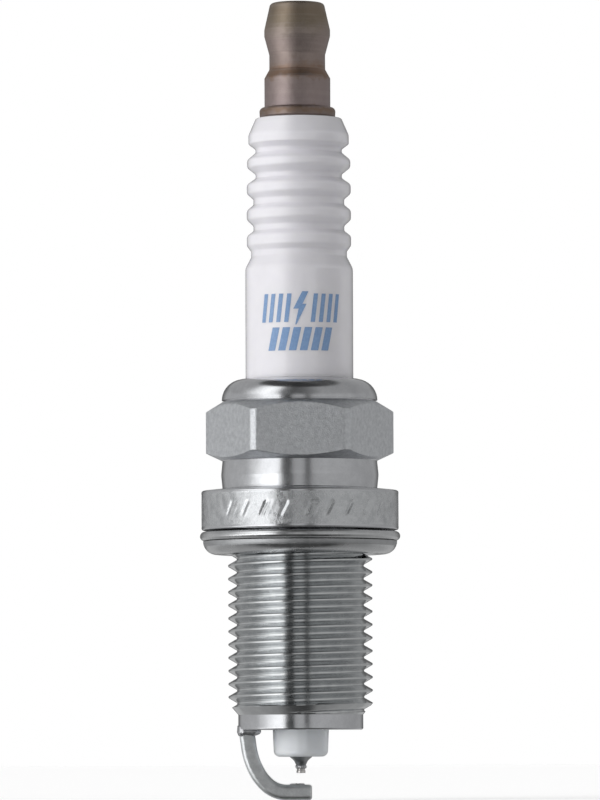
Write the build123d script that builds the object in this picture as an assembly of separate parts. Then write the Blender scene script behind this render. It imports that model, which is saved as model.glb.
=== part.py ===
"""Spark plug with an M14 x 1.25 thread, 19 mm reach, 16 mm hexagon and a captive gasket.

Millimetres. Z is the plug's axis and points from the firing end to the terminal. The origin is
the middle of the gasket's sealing face. Heights below are taken from the underside of the
shell's flange, which the gasket holds GASKET_HEIGHT above the origin, so every piece is lifted
by that much when it is written.
"""

from build123d import *
import math
import os

# Standard sizes
THREAD_PITCH = 1.25
THREAD_CREST_R = 6.87
THREAD_ROOT_R = 6.08
REACH = 19.0
HEX_ACROSS_FLATS = 15.8
TERMINAL_TOP = 50.5
GASKET_HEIGHT = 2.3
SPARK_GAP = 1.1

# Edge roundings shared by several pieces
KEEN_EDGE = 0.05
FINE_EDGE = 0.1
SOFT_EDGE = 0.2
FULL_EDGE = 0.3

# Shell, outside
LIP_TOP = 14.4
LIP_INNER_R = 5.3
LIP_OUTER_R = 7.43
LIP_ROUND = 1.9
RELIEF_TOP = 12.42
RELIEF_BOTTOM = 12.26
RELIEF_R = 7.2
HEX_TOP = 12.2
HEX_BOTTOM = 6.64
HEX_CORNER_R = 8.88
HEX_TOP_CHAMFER = 0.93
HEX_BOTTOM_CHAMFER = 0.71
BARREL_R = 7.38
BARREL_BULGE = 0.13
BARREL_BULGE_ROUND = 1.5
BARREL_TOP = 6.59
BARREL_BOTTOM = 3.96
FLANGE_R = 9.4
FLANGE_TOP = 3.75
NECK_R = 6.0
NECK_END = -1.75
THREAD_FULL_TOP = -2.62
THREAD_FULL_END = -16.49
PILOT_TOP = -17.55
PILOT_R = 5.95

# Shell, inside
CHAMBER_R = 6.3
LIP_UNDERSIDE = 13.65
LIP_UNDERSIDE_ROUND = 0.55
CHAMBER_BOTTOM = 1.0
BARREL_BORE_R = 4.62
SEAT_TOP = -7.0
SEAT_R = 3.95
SEAT_BOTTOM = -7.7
SEAT_LAND_END = -9.5
MOUTH_BORE_R = 4.3

# Thread groove: the first and last cutters turn clear of the pilot and of the neck
GROOVE_TURNS = 14
GROOVE_START = -18.38
CREST_FLAT = 0.156
FLANK_HALF_ANGLE = 30.0
CUTTER_OVERLAP = 0.05

# Slanted notches stamped into the flange
NOTCH_COUNT = 10
NOTCH_STEP = 12.4
NOTCH_FIRST_ANGLE = 224.5
NOTCH_HEIGHT = 1.88
NOTCH_LENGTH = 1.6
NOTCH_WIDTH = 0.3
NOTCH_DEPTH = 0.1
NOTCH_SLANT = 27.0

# Insulator
INSULATOR_TOP = 39.4
TOP_FACE_R = 4.1
TOP_FLARE_R = 4.8
TOP_FLARE_START = 37.8
TOP_FLARE_END = 36.95
TOP_FLARE_ROUND = 0.8
BODY_R = 5.14
BODY_TOP = 25.0
BODY_TOP_ROUND = 1.0
COLLAR_R = 6.1
COLLAR_TOP = 8.2
COLLAR_SHOULDER = 0.4
COLLAR_BOTTOM = 1.2
WAIST_R = 4.5
NOSE_SHOULDER_R = 3.8
NOSE_TOP_R = 3.6
NOSE_TOP_DROP = 0.7
NOSE_MOUTH_R = 2.67
NOSE_END_R = 2.57
NOSE_END = -21.55
NOSE_END_ROUND = 0.6
STEM_BORE_R = 2.0
BORE_STEP = -4.2
ELECTRODE_BORE_R = 1.15

# Ribs from the top down: groove radius, top and bottom, then rib radius, top and bottom
RIBS = (
    (4.12, 36.45, 36.10, 4.94, 35.40, 34.70),
    (4.12, 34.05, 33.65, 4.97, 33.05, 32.20),
    (4.34, 31.65, 31.10, 4.98, 30.55, 29.70),
    (4.34, 29.10, 28.60, 4.98, 28.10, 27.20),
)
LAST_GROOVE = (4.58, 26.65, 26.10)
RIB_ROUND = 0.45
GROOVE_ROUND = 0.32

# Terminal stud
TERMINAL_R = 3.15
HEAD_TOP_R = 2.565
HEAD_ROUND = 0.4
HEAD_LAND_TOP = 47.9
HEAD_LAND_BOTTOM = 47.3
HEAD_LAND_ROUND = 0.5
WAIST_STUD_R = 2.67
WAIST_TOP = 45.5
WAIST_BOTTOM = 44.1
PIN_TOP = 43.25
PIN_BOTTOM = 40.45
PIN_EDGE = 0.15
BEAD_R = 3.65
BEAD_TOP = 40.42
STEM_R = 1.75
STEM_END = 13.2
STEM_GROOVES = 5
STEM_GROOVE_PITCH = 0.7
STEM_GROOVE_FIRST = 0.56
STEM_GROOVE_DEPTH = 0.2
STEM_GROOVE_HALF = 0.3

# Conducting column inside the bore
COLUMN_R = 1.98
UPPER_SEAL_TOP = 17.0
UPPER_SEAL_BOTTOM = 11.5
RESISTOR_BOTTOM = 3.0
ELECTRODE_HEAD_TOP = -3.2
ELECTRODE_HEAD_R = 1.8
NUB_TOP = -2.4
NUB_R = 1.0
CLEARANCE = 0.02

# Centre electrode
ELECTRODE_R = 1.1
CONE_TOP = -21.55
CONE_END = -22.35
CONE_END_R = 0.465
CONE_HOLLOW = 0.12
CORE_R = 0.55
CORE_END = -19.5
TIP_R = 0.4
TIP_END = -23.1
TIP_WELD_R = 0.52
TIP_WELD_TOP = -22.45
TIP_WELD_BOTTOM = -22.6
TIP_WELD_END = -22.68

# Packing inside the shell
PACKING_WIRE_R = 0.54
PACKING_RING_R = 5.72
UPPER_PACKING_Z = 13.08
LOWER_PACKING_Z = 8.78
SEAT_PACKING_HEIGHT = 0.35
SEAT_PACKING_INNER_R = 4.0
SEAT_PACKING_OUTER_R = 4.45

# Side electrode: radius and angle of each bend in its middle line
STRAP_THICKNESS = 1.48
STRAP_WIDTH = 2.8
STRAP_EDGE = 0.45
STRAP_TIP_EDGE = 0.15
STRAP_TOP_X = -5.178
STRAP_TILT = 8.0
STRAP_BENDS = ((6.86, 22.0), (4.56, 18.0), (2.76, 42.0))
STRAP_TIP_X = 1.04
CHIP_PROUD = 0.06
STRAP_FACE = TIP_END - SPARK_GAP

# Weld bead round the foot of the side electrode
WELD_X = -4.95
WELD_LENGTH = 2.2
WELD_WIDTH = 3.5
WELD_HEIGHT = 0.55
WELD_CORNER = 0.6
WELD_ROUND = 0.25
WELD_LAP_R = 6.1
WELD_LAP_HEIGHT = 0.45

# Firing disc on the side electrode
CHIP_X = -0.35
CHIP_R = 0.45
CHIP_DEPTH = 0.25
CHIP_WELD_R = 0.75
CHIP_WELD_DEPTH = 0.1
CHIP_WELD_PROUD = 0.04

# Gasket: a strip folded into an S, given by its middle line
GASKET_STRIP = 0.42
GASKET_GAP = 0.12
GASKET_INNER_R = 6.45
GASKET_FOLD_R = 9.1
GASKET_FOLD_GAP = 0.05
GASKET_TURN_R = 7.5
GASKET_CURL_START = 8.0
GASKET_CURL_R = 1.04


def turned(corners):
    """Solid of revolution about Z from the corners (radius, height, rounding) of its section."""
    points = [(radius, 0, height) for radius, height, _ in corners]
    rounding = [size for _, _, size in corners]
    outline = FilletPolyline(*points, radius=rounding, close=True)
    return revolve(make_face(outline.edges()), Axis.Z, 360)


def ring(inner, outer, bottom, top):
    """Plain ring about Z, or a rod where the inner radius is nought."""
    return turned([(inner, bottom, 0), (outer, bottom, 0), (outer, top, 0), (inner, top, 0)])


def joined(pieces):
    """One wire from lines and arcs that follow each other."""
    return Wire([edge for piece in pieces for edge in piece.edges()])


def seat_height(radius):
    """Height of the shell's conical inner seat at a radius."""
    rise = (SEAT_TOP - SEAT_BOTTOM) / (BARREL_BORE_R - SEAT_R)
    return SEAT_BOTTOM + (radius - SEAT_R) * rise


def thread_cutters():
    """Sixty degree groove wound right-handed round the axis, as one cutter for each turn."""
    slope = math.tan(math.radians(FLANK_HALF_ANGLE))
    outer_r = THREAD_CREST_R + CUTTER_OVERLAP
    crest_half = (THREAD_PITCH - CREST_FLAT) / 2
    outer_half = crest_half + CUTTER_OVERLAP * slope
    root_half = crest_half - (THREAD_CREST_R - THREAD_ROOT_R) * slope
    corners = [
        (THREAD_ROOT_R, 0, -root_half),
        (outer_r, 0, -outer_half),
        (outer_r, 0, outer_half),
        (THREAD_ROOT_R, 0, root_half),
    ]
    section = make_face(Polyline(*corners, close=True).edges())
    turn_path = Helix(THREAD_PITCH, THREAD_PITCH, THREAD_ROOT_R)
    one_turn = sweep(section, path=turn_path, is_frenet=True)
    heights = [GROOVE_START + turn * THREAD_PITCH for turn in range(GROOVE_TURNS)]
    return [Pos(0, 0, height) * one_turn for height in heights]


def hexagon():
    """Wrench hexagon round the chamber, its corners turned down and chamfered at both ends."""
    outline = RegularPolygon(HEX_ACROSS_FLATS / 2, 6, major_radius=False)
    prism = Pos(0, 0, HEX_BOTTOM) * extrude(outline, HEX_TOP - HEX_BOTTOM)
    inner_r = (CHAMBER_R + LIP_OUTER_R) / 2
    limit = turned(
        [
            (inner_r, HEX_BOTTOM, 0),
            (LIP_OUTER_R, HEX_BOTTOM, 0),
            (HEX_CORNER_R, HEX_BOTTOM + HEX_BOTTOM_CHAMFER, 0),
            (HEX_CORNER_R, HEX_TOP - HEX_TOP_CHAMFER, 0),
            (LIP_OUTER_R, HEX_TOP, 0),
            (inner_r, HEX_TOP, 0),
        ]
    )
    return prism & limit


def flange_notches():
    """Cutters for the slanted notches in a row round the front of the flange."""
    notch = Rot(-NOTCH_SLANT, 0, 0) * Box(2 * NOTCH_DEPTH, NOTCH_WIDTH, NOTCH_LENGTH)
    placed = Pos(FLANGE_R, 0, NOTCH_HEIGHT) * notch
    angles = [NOTCH_FIRST_ANGLE + number * NOTCH_STEP for number in range(NOTCH_COUNT)]
    return [Rot(0, 0, angle) * placed for angle in angles]


def shell_blank():
    """Shell before the hexagon, thread and notches are added, hollow right through."""
    barrel_middle = (BARREL_BOTTOM + BARREL_TOP) / 2
    return turned(
        [
            (LIP_INNER_R, LIP_UNDERSIDE, SOFT_EDGE),
            (LIP_INNER_R, LIP_TOP, SOFT_EDGE),
            (LIP_OUTER_R, LIP_TOP, LIP_ROUND),
            (LIP_OUTER_R, RELIEF_TOP, 0),
            (RELIEF_R, RELIEF_TOP, 0),
            (RELIEF_R, RELIEF_BOTTOM, 0),
            (LIP_OUTER_R, RELIEF_BOTTOM, 0),
            (LIP_OUTER_R, HEX_BOTTOM, 0),
            (BARREL_R, BARREL_TOP, 0),
            (BARREL_R + BARREL_BULGE, barrel_middle, BARREL_BULGE_ROUND),
            (BARREL_R, BARREL_BOTTOM, FINE_EDGE),
            (FLANGE_R, FLANGE_TOP, SOFT_EDGE),
            (FLANGE_R, 0, SOFT_EDGE),
            (NECK_R, 0, FINE_EDGE),
            (NECK_R, NECK_END, 0),
            (THREAD_CREST_R, THREAD_FULL_TOP, 0),
            (THREAD_CREST_R, THREAD_FULL_END, 0),
            (PILOT_R, PILOT_TOP, SOFT_EDGE),
            (PILOT_R, -REACH, SOFT_EDGE),
            (MOUTH_BORE_R, -REACH, FINE_EDGE),
            (MOUTH_BORE_R, SEAT_LAND_END - (MOUTH_BORE_R - SEAT_R), FINE_EDGE),
            (SEAT_R, SEAT_LAND_END, FINE_EDGE),
            (SEAT_R, SEAT_BOTTOM, FINE_EDGE),
            (BARREL_BORE_R, SEAT_TOP, 0),
            (BARREL_BORE_R, CHAMBER_BOTTOM - (CHAMBER_R - BARREL_BORE_R), FULL_EDGE),
            (CHAMBER_R, CHAMBER_BOTTOM, FULL_EDGE),
            (CHAMBER_R, LIP_UNDERSIDE, LIP_UNDERSIDE_ROUND),
        ]
    )


def make_shell():
    """Plated steel shell with its hexagon, stamped flange and cut thread."""
    body = shell_blank() + hexagon()
    return body - flange_notches() - thread_cutters()


def rib_corners():
    """Corners of the ribs and grooves from the top down."""
    corners = []
    for groove_r, groove_top, groove_bottom, rib_r, rib_top, rib_bottom in RIBS:
        corners.append((groove_r, groove_top, GROOVE_ROUND))
        corners.append((groove_r, groove_bottom, GROOVE_ROUND))
        corners.append((rib_r, rib_top, RIB_ROUND))
        corners.append((rib_r, rib_bottom, RIB_ROUND))
    groove_r, groove_top, groove_bottom = LAST_GROOVE
    corners.append((groove_r, groove_top, GROOVE_ROUND))
    corners.append((groove_r, groove_bottom, GROOVE_ROUND))
    return corners


def make_insulator():
    """Alumina insulator: ribbed top, collar held by the shell, and tapered nose."""
    shoulder_top = seat_height(WAIST_R) + SEAT_PACKING_HEIGHT
    shoulder_bottom = seat_height(NOSE_SHOULDER_R) + SEAT_PACKING_HEIGHT
    top = [
        (STEM_BORE_R, INSULATOR_TOP, FINE_EDGE),
        (TOP_FACE_R, INSULATOR_TOP, SOFT_EDGE),
        (TOP_FLARE_R, TOP_FLARE_START, TOP_FLARE_ROUND),
        (TOP_FLARE_R, TOP_FLARE_END, SOFT_EDGE),
    ]
    body = [
        (BODY_R, BODY_TOP, BODY_TOP_ROUND),
        (BODY_R, COLLAR_TOP, FINE_EDGE),
        (COLLAR_R, COLLAR_TOP - COLLAR_SHOULDER, SOFT_EDGE),
        (COLLAR_R, COLLAR_BOTTOM, FULL_EDGE),
        (WAIST_R, COLLAR_BOTTOM - (COLLAR_R - WAIST_R), FULL_EDGE),
        (WAIST_R, shoulder_top, FINE_EDGE),
    ]
    nose = [
        (NOSE_SHOULDER_R, shoulder_bottom, FINE_EDGE),
        (NOSE_TOP_R, shoulder_bottom - NOSE_TOP_DROP, FULL_EDGE),
        (NOSE_MOUTH_R, -REACH, 0),
        (NOSE_END_R, NOSE_END, NOSE_END_ROUND),
        (ELECTRODE_BORE_R, NOSE_END, KEEN_EDGE),
        (ELECTRODE_BORE_R, BORE_STEP - (STEM_BORE_R - ELECTRODE_BORE_R), 0),
        (STEM_BORE_R, BORE_STEP, 0),
    ]
    return turned(top + rib_corners() + body + nose)


def stem_groove(height):
    """Cutter for one of the grip grooves round the stem's end."""
    return turned(
        [
            (STEM_R - STEM_GROOVE_DEPTH, height, KEEN_EDGE),
            (STEM_R + FINE_EDGE, height - STEM_GROOVE_HALF, 0),
            (STEM_R + FINE_EDGE, height + STEM_GROOVE_HALF, 0),
        ]
    )


def make_terminal():
    """One-piece stud: connector head, bead that rests on the insulator, and grooved stem."""
    stud = turned(
        [
            (0, TERMINAL_TOP, 0),
            (HEAD_TOP_R, TERMINAL_TOP, HEAD_ROUND),
            (TERMINAL_R, HEAD_LAND_TOP, HEAD_LAND_ROUND),
            (TERMINAL_R, HEAD_LAND_BOTTOM, FULL_EDGE),
            (WAIST_STUD_R, WAIST_TOP, HEAD_LAND_ROUND),
            (WAIST_STUD_R, WAIST_BOTTOM, FULL_EDGE),
            (TERMINAL_R, PIN_TOP, PIN_EDGE),
            (TERMINAL_R, PIN_BOTTOM, KEEN_EDGE),
            (BEAD_R, BEAD_TOP, HEAD_ROUND),
            (BEAD_R - KEEN_EDGE, INSULATOR_TOP, FULL_EDGE),
            (STEM_R, INSULATOR_TOP, 0),
            (STEM_R, STEM_END, SOFT_EDGE),
            (0, STEM_END, 0),
        ]
    )
    first = STEM_END + STEM_GROOVE_FIRST
    return stud - [stem_groove(first + number * STEM_GROOVE_PITCH) for number in range(STEM_GROOVES)]


def make_upper_glass_seal():
    """Fused glass column that holds the end of the stem."""
    column = ring(0, COLUMN_R, UPPER_SEAL_BOTTOM, UPPER_SEAL_TOP)
    socket = ring(0, STEM_R + CLEARANCE, STEM_END - CLEARANCE, UPPER_SEAL_TOP + 1)
    return column - socket


def make_resistor():
    """Suppressor resistor, a plain rod."""
    return ring(0, COLUMN_R, RESISTOR_BOTTOM, UPPER_SEAL_BOTTOM)


def make_lower_glass_seal():
    """Fused glass column over the electrode's head."""
    column = ring(0, COLUMN_R, ELECTRODE_HEAD_TOP, RESISTOR_BOTTOM)
    socket = ring(0, NUB_R + CLEARANCE, ELECTRODE_HEAD_TOP - 1, NUB_TOP + CLEARANCE)
    return column - socket


def make_centre_electrode():
    """Nickel sheath with a headed top, a bore for the copper core and a hollow-sided end cone."""
    head_bottom = BORE_STEP - (STEM_BORE_R - ELECTRODE_HEAD_R)
    hollow = SagittaArc((ELECTRODE_R, CONE_TOP), (CONE_END_R, CONE_END), CONE_HOLLOW)
    sides = Polyline(
        (CONE_END_R, CONE_END),
        (0, CONE_END),
        (0, NUB_TOP),
        (NUB_R, NUB_TOP),
        (NUB_R, ELECTRODE_HEAD_TOP),
        (ELECTRODE_HEAD_R, ELECTRODE_HEAD_TOP),
        (ELECTRODE_HEAD_R, head_bottom),
        (ELECTRODE_R, head_bottom - (ELECTRODE_HEAD_R - ELECTRODE_R)),
        (ELECTRODE_R, CONE_TOP),
    )
    section = Plane.XZ * make_face(sides.edges() + hollow.edges())
    bore = ring(0, CORE_R + CLEARANCE, CORE_END, NUB_TOP + 1)
    return revolve(section, Axis.Z, 360) - bore


def make_centre_core():
    """Copper core of the centre electrode."""
    return ring(0, CORE_R, CORE_END, NUB_TOP)


def make_iridium_tip():
    """Fine firing tip at the end of the centre electrode."""
    return turned(
        [
            (0, TIP_END, 0),
            (TIP_R, TIP_END, KEEN_EDGE),
            (TIP_R, CONE_END, 0),
            (0, CONE_END, 0),
        ]
    )


def make_tip_weld():
    """Fused ring round the foot of the firing tip."""
    return turned(
        [
            (TIP_R, TIP_WELD_END, 0),
            (TIP_R, CONE_END, 0),
            (CONE_END_R, CONE_END, 0),
            (TIP_WELD_R, TIP_WELD_TOP, KEEN_EDGE),
            (TIP_WELD_R, TIP_WELD_BOTTOM, KEEN_EDGE),
        ]
    )


def strap_path():
    """Middle line of the side electrode, its straight start long enough to leave the spark gap."""
    drop = STRAP_THICKNESS / 2 - STRAP_FACE - REACH
    heading = math.radians(STRAP_TILT)
    for radius, angle in STRAP_BENDS:
        next_heading = heading + math.radians(angle)
        drop -= radius * (math.sin(next_heading) - math.sin(heading))
        heading = next_heading
    start = Vector(STRAP_TOP_X, -REACH)
    run = Vector(drop * math.tan(math.radians(STRAP_TILT)), -drop)
    pieces = [Line(start, start + run)]
    for radius, angle in STRAP_BENDS:
        pieces.append(JernArc(pieces[-1] @ 1, pieces[-1] % 1, radius, angle))
    end = pieces[-1] @ 1
    pieces.append(Line(end, (STRAP_TIP_X, end.Y)))
    return Plane.XZ * joined(pieces)


def make_strap():
    """Side electrode bent from round-edged strip over the firing tip, pocketed for its disc."""
    path = strap_path()
    plane = Plane(origin=path @ 0, x_dir=(0, 1, 0), z_dir=path % 0)
    section = plane * RectangleRounded(STRAP_WIDTH, STRAP_THICKNESS, STRAP_EDGE)
    strap = sweep(section, path=path)
    strap = fillet(strap.faces().sort_by(Axis.X)[-1].edges(), STRAP_TIP_EDGE)
    above_shell_end = Pos(0, 0, -REACH + 1) * Box(4 * PILOT_R, 4 * PILOT_R, 2)
    chip_pocket = ring(0, CHIP_R, STRAP_FACE - CHIP_DEPTH, STRAP_FACE + 1)
    weld_pocket = ring(0, CHIP_WELD_R, STRAP_FACE - CHIP_WELD_DEPTH, STRAP_FACE + 1)
    return strap - above_shell_end - Pos(CHIP_X, 0, 0) * (chip_pocket + weld_pocket)


def make_chip():
    """Precious-metal disc opposite the firing tip."""
    bottom = STRAP_FACE - CHIP_DEPTH
    top = STRAP_FACE + CHIP_PROUD
    corners = [(0, bottom, 0), (CHIP_R, bottom, 0), (CHIP_R, top, KEEN_EDGE), (0, top, 0)]
    return Pos(CHIP_X, 0, 0) * turned(corners)


def make_chip_weld():
    """Fused ring round the disc."""
    bottom = STRAP_FACE - CHIP_WELD_DEPTH
    return Pos(CHIP_X, 0, 0) * ring(CHIP_R, CHIP_WELD_R, bottom, STRAP_FACE + CHIP_WELD_PROUD)


def make_ground_weld(strap):
    """Resistance-weld bead round the foot of the side electrode, lapped up the shell's end."""
    pad = extrude(RectangleRounded(WELD_LENGTH, WELD_WIDTH, WELD_CORNER), WELD_HEIGHT)
    pad = fillet(pad.edges().group_by(Axis.Z)[0], WELD_ROUND)
    pad = Pos(WELD_X, 0, -REACH - WELD_HEIGHT) * pad
    lap_ring = ring(PILOT_R, WELD_LAP_R, -REACH, -REACH + WELD_LAP_HEIGHT)
    lap = lap_ring & Pos(-PILOT_R, 0, -REACH) * Box(PILOT_R, WELD_WIDTH - WELD_CORNER, 2)
    return pad + lap - strap


def make_gasket():
    """Sealing ring rolled from strip into an S section, flat underneath."""
    top = -GASKET_GAP - GASKET_STRIP / 2
    bottom = -GASKET_HEIGHT + GASKET_STRIP / 2
    second = top - GASKET_STRIP - GASKET_FOLD_GAP
    middle = joined(
        [
            Line((GASKET_INNER_R, top), (GASKET_FOLD_R, top)),
            JernArc((GASKET_FOLD_R, top), (1, 0), (top - second) / 2, -180),
            Line((GASKET_FOLD_R, second), (GASKET_TURN_R, second)),
            JernArc((GASKET_TURN_R, second), (-1, 0), (second - bottom) / 2, 180),
            Line((GASKET_TURN_R, bottom), (GASKET_CURL_START, bottom)),
            JernArc((GASKET_CURL_START, bottom), (1, 0), GASKET_CURL_R, 90),
        ]
    )
    return revolve(Plane.XZ * trace(middle, GASKET_STRIP), Axis.Z, 360)


def make_packing_ring(height):
    """Wire ring wedged between insulator and shell."""
    return Pos(0, 0, height) * Torus(PACKING_RING_R, PACKING_WIRE_R)


def make_talc():
    """Pressed talc between the two wire rings."""
    bottom = LOWER_PACKING_Z + PACKING_WIRE_R
    top = UPPER_PACKING_Z - PACKING_WIRE_R
    return ring(BODY_R + CLEARANCE, CHAMBER_R - CLEARANCE, bottom, top)


def make_seat_packing():
    """Thin washer between the insulator's shoulder and the shell's seat."""
    inner = seat_height(SEAT_PACKING_INNER_R)
    outer = seat_height(SEAT_PACKING_OUTER_R)
    return turned(
        [
            (SEAT_PACKING_INNER_R, inner, 0),
            (SEAT_PACKING_OUTER_R, outer, 0),
            (SEAT_PACKING_OUTER_R, outer + SEAT_PACKING_HEIGHT, 0),
            (SEAT_PACKING_INNER_R, inner + SEAT_PACKING_HEIGHT, 0),
        ]
    )


strap = make_strap()
pieces = {
    "terminal_stud": make_terminal(),
    "insulator": make_insulator(),
    "shell": make_shell(),
    "gasket": make_gasket(),
    "ground_electrode": strap,
    "ground_weld": make_ground_weld(strap),
    "ground_chip": make_chip(),
    "ground_chip_weld": make_chip_weld(),
    "centre_electrode": make_centre_electrode(),
    "centre_core": make_centre_core(),
    "iridium_tip": make_iridium_tip(),
    "tip_weld": make_tip_weld(),
    "upper_glass_seal": make_upper_glass_seal(),
    "resistor": make_resistor(),
    "lower_glass_seal": make_lower_glass_seal(),
    "upper_packing_ring": make_packing_ring(UPPER_PACKING_Z),
    "lower_packing_ring": make_packing_ring(LOWER_PACKING_Z),
    "talc_fill": make_talc(),
    "seat_packing": make_seat_packing(),
}

os.makedirs("parts", exist_ok=True)
for name, piece in pieces.items():
    export_step(Pos(0, 0, GASKET_HEIGHT) * piece, f"parts/{name}.step")
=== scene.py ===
"""Looks for the spark plug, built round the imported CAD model.

Sections are given in millimetres as (radius, height, rounding), heights counted from the
underside of the shell's flange, as in the CAD source. Points are lifted by the gasket's height
and written in metres.
"""
import math

import bmesh
import bpy
from mathutils import Matrix, Vector, noise


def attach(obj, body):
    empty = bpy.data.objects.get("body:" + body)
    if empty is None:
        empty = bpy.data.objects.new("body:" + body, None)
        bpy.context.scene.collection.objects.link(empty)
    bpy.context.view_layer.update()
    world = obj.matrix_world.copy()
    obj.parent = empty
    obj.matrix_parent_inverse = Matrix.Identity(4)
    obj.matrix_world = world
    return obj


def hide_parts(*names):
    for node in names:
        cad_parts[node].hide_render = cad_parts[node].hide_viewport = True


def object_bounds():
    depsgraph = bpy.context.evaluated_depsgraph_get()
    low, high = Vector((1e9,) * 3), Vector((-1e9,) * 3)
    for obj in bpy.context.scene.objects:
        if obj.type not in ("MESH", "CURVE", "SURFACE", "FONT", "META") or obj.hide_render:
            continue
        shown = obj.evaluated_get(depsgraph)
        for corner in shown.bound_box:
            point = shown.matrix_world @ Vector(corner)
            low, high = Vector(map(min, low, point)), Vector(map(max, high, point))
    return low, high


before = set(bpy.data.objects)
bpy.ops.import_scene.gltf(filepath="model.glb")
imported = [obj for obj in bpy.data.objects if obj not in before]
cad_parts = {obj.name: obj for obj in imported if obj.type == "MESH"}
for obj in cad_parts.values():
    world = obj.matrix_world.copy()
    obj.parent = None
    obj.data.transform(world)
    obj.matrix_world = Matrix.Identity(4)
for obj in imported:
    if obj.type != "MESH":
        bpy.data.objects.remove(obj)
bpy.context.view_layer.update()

MM = 0.001
LIFT = 2.3
TAU = 2 * math.pi

# ---------------------------------------------------------------- sizes, mm
# Thread, neck and pilot
PITCH = 1.25
CREST_R = 6.87
ROOT_R = 6.05
CREST_FLAT = 0.156
CREST_AT_ZERO = -4.005
FLANK_ANGLE = math.radians(30)
NECK_R = 6.0
NECK_END = -1.75
PILOT_R = 5.95
PILOT_TOP = -17.55
RUNOUT_SLOPE = 0.87
REACH = 19.0

# Lip, hexagon, barrel and flange
CHAMBER_R = 6.3
LIP_UNDERSIDE = 13.65
LIP_INNER_R = 5.3
LIP_TOP = 14.4
LIP_ROUND = 2.0
RELIEF_R = 7.2
RELIEF_TOP = 12.42
HEX_HALF = 7.9
HEX_CORNER_R = 8.95
HEX_TOP = 12.2
HEX_BOTTOM = 6.64
COLLAR_R = 7.43
TOP_CHAMFER = 0.93
BOTTOM_CHAMFER = 0.71
BARREL_R = 7.38
BARREL_BULGE_R = 7.51
FLANGE_R = 9.4
FLANGE_TOP = 3.75
STAMPED_TOP = 3.4
STAMPED_BOTTOM = 0.35

# Bore of the shell
SEAT_R = 3.95
MOUTH_R = 4.3
BARREL_BORE_R = 4.62

# Insulator and terminal
INSULATOR_TOP = 39.4
BODY_R = 5.14
COLLAR_OUT_R = 6.1
WAIST_R = 4.5
STEM_BORE_R = 2.0
ELECTRODE_BORE_R = 1.15
RIB_ROUND = 0.45
GROOVE_ROUND = 0.32
TERMINAL_TOP = 50.5
TERMINAL_R = 3.15
TERMINAL_WAIST_R = 2.67
TERMINAL_ASIDE = -0.1
STEM_R = 1.75
STEM_GROOVE_R = 1.55
STEM_TOP_CREST = 16.9
STEM_CREST_STEP = 0.7
STEM_CRESTS = 5
STEM_FALL = 0.34
STEM_END = 13.2

# Firing end
ELECTRODE_R = 1.1
NOSE_END = -21.55
TIP_START = -22.3
TIP_END = -23.1
SPARK_GAP = 1.1
STRAP_FACE = TIP_END - SPARK_GAP
STRAP_THICK = 1.48
STRAP_WIDTH = 2.8
STRAP_EDGE = 0.45
CHIP_X = -0.35
CHIP_R = 0.45


# ---------------------------------------------------------------- mesh tools
ARC_STEP = 9.0
SUPPORT = 0.03
LONGEST_RUN = 1.5
WELD = 2e-7


def rounded(corners, closed=False):
    """Section points with an arc at each rounded corner and a support point near each end of a run."""
    count = len(corners)
    out = []
    for index, corner in enumerate(corners):
        point = Vector(corner[:2])
        size = corner[2] if len(corner) > 2 else 0
        if size == 0 or (not closed and index in (0, count - 1)):
            out.append([point])
            continue
        back = (Vector(corners[index - 1][:2]) - point).normalized()
        ahead = (Vector(corners[(index + 1) % count][:2]) - point).normalized()
        turn = math.pi - back.angle(ahead)
        reach = size * math.tan(turn / 2)
        centre = point + (back + ahead).normalized() * (size / math.cos(turn / 2))
        start = point + back * reach - centre
        finish = point + ahead * reach - centre
        spin = 1 if start.x * finish.y - start.y * finish.x > 0 else -1
        pieces = max(2, math.ceil(math.degrees(turn) / ARC_STEP))
        arc = []
        for piece in range(pieces + 1):
            angle = spin * turn * piece / pieces
            cos, sin = math.cos(angle), math.sin(angle)
            arc.append(centre + Vector((start.x * cos - start.y * sin, start.x * sin + start.y * cos)))
        out.append(arc)
    points = []
    for index, arc in enumerate(out):
        points += arc
        if index == count - 1 and not closed:
            break
        end, begin = arc[-1], out[(index + 1) % count][0]
        run = (begin - end).length
        if run > 3 * SUPPORT:
            parts = max(1, int(run / LONGEST_RUN))
            points.append(end.lerp(begin, SUPPORT / run))
            points += [end.lerp(begin, part / parts) for part in range(1, parts)]
            points.append(begin.lerp(end, SUPPORT / run))
    return [(p.x, p.y) for p in points]


class Skin:
    """Collects rings of points about Z and the faces between them."""

    def __init__(self):
        self.points, self.faces, self.looks = [], [], []

    def ring(self, angles, radii, heights):
        first = len(self.points)
        for angle, radius, height in zip(angles, radii, heights):
            self.points.append((
                radius * math.cos(angle) * MM, radius * math.sin(angle) * MM, (height + LIFT) * MM))
        return list(range(first, len(self.points)))

    def face(self, corners, look):
        self.faces.append(corners)
        self.looks.append(look)

    def band(self, above, below, look=0):
        """Faces between a ring and the next; one may have several points for each of the other's."""
        up, down = len(above), len(below)
        each_up, each_down = max(1, up // down), max(1, down // up)
        for part in range(min(up, down)):
            top = [above[(part * each_up + k) % up] for k in range(each_up + 1)]
            low = [below[(part * each_down + k) % down] for k in range(each_down + 1)]
            self.face([top[0]] + low + top[:0:-1], look)

    def lathe(self, angles, section, look=0, before=None):
        """Adds a turned stretch and returns its first and last ring."""
        count = len(angles)
        rings = [self.ring(angles, [radius] * count, [height] * count) for radius, height in section]
        if before:
            rings.insert(0, before)
        for above, below in zip(rings, rings[1:]):
            self.band(above, below, look)
        return rings[0], rings[-1]


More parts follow.
